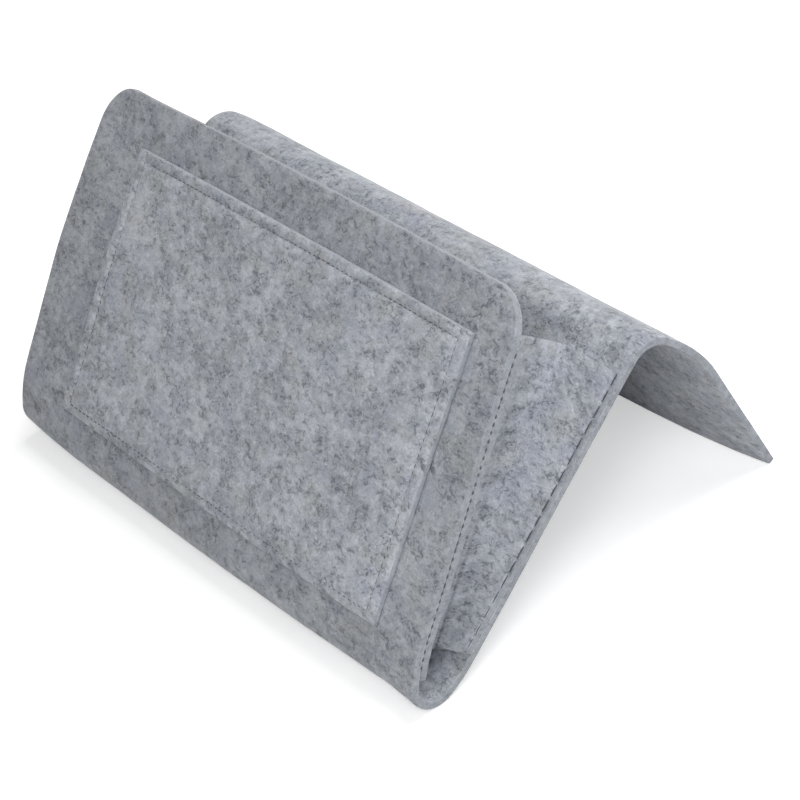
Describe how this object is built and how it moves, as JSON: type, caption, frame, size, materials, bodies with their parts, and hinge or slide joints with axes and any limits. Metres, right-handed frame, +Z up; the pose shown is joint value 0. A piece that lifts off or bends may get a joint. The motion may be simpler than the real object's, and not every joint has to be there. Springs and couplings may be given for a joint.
{
  "type": "sofa armrest organizer",
  "caption": "Grey felt caddy for a sofa arm: gusseted main pocket with a flat patch pocket on the front, a soft ridge and a tuck flap, standing like a tent.",
  "frame": {"origin": "on the floor, under the middle of the footprint, with the organizer standing on its bottom fold and its flap's edge", "axes": "+X along the organizer's length, -Y on the side of the front panel and its patch pocket, +Z up"},
  "size_m": [0.33, 0.193, 0.1466],
  "materials": {
    "felt": "matte grey mottled felt",
    "thread": "dull grey sewing thread"
  },
  "bodies": {
    "back": {"back_panel": "felt", "bottom_fold": "felt", "ridge_bend": "felt", "gusset_left_web": "felt", "gusset_left_rear_flange": "felt", "gusset_right_web": "felt", "gusset_right_rear_flange": "felt", "rear_seam_left": "thread", "rear_seam_right": "thread"},
    "front": {"front_panel": "felt", "patch_pocket": "felt", "patch_seam": "thread", "patch_hem_seam": "thread", "gusset_left_front_flange": "felt", "gusset_right_front_flange": "felt", "front_seam_left": "thread", "front_seam_right": "thread"},
    "flap": {"tuck_flap": "felt"}
  },
  "joints": [
    {"name": "front_fold", "type": "hinge", "parent": "back", "child": "front", "pos_m": [0, -0.09202, 0.0043], "axis": [1, 0, 0], "range_deg": [-18, 6], "deforming": ["bottom_fold", "gusset_left_web", "gusset_right_web"]},
    {"name": "flap_ridge", "type": "hinge", "parent": "back", "child": "flap", "pos_m": [0, 0.05371, 0.09026], "axis": [1, 0, 0], "range_deg": [-60, 80], "deforming": ["ridge_bend"]}
  ]
}
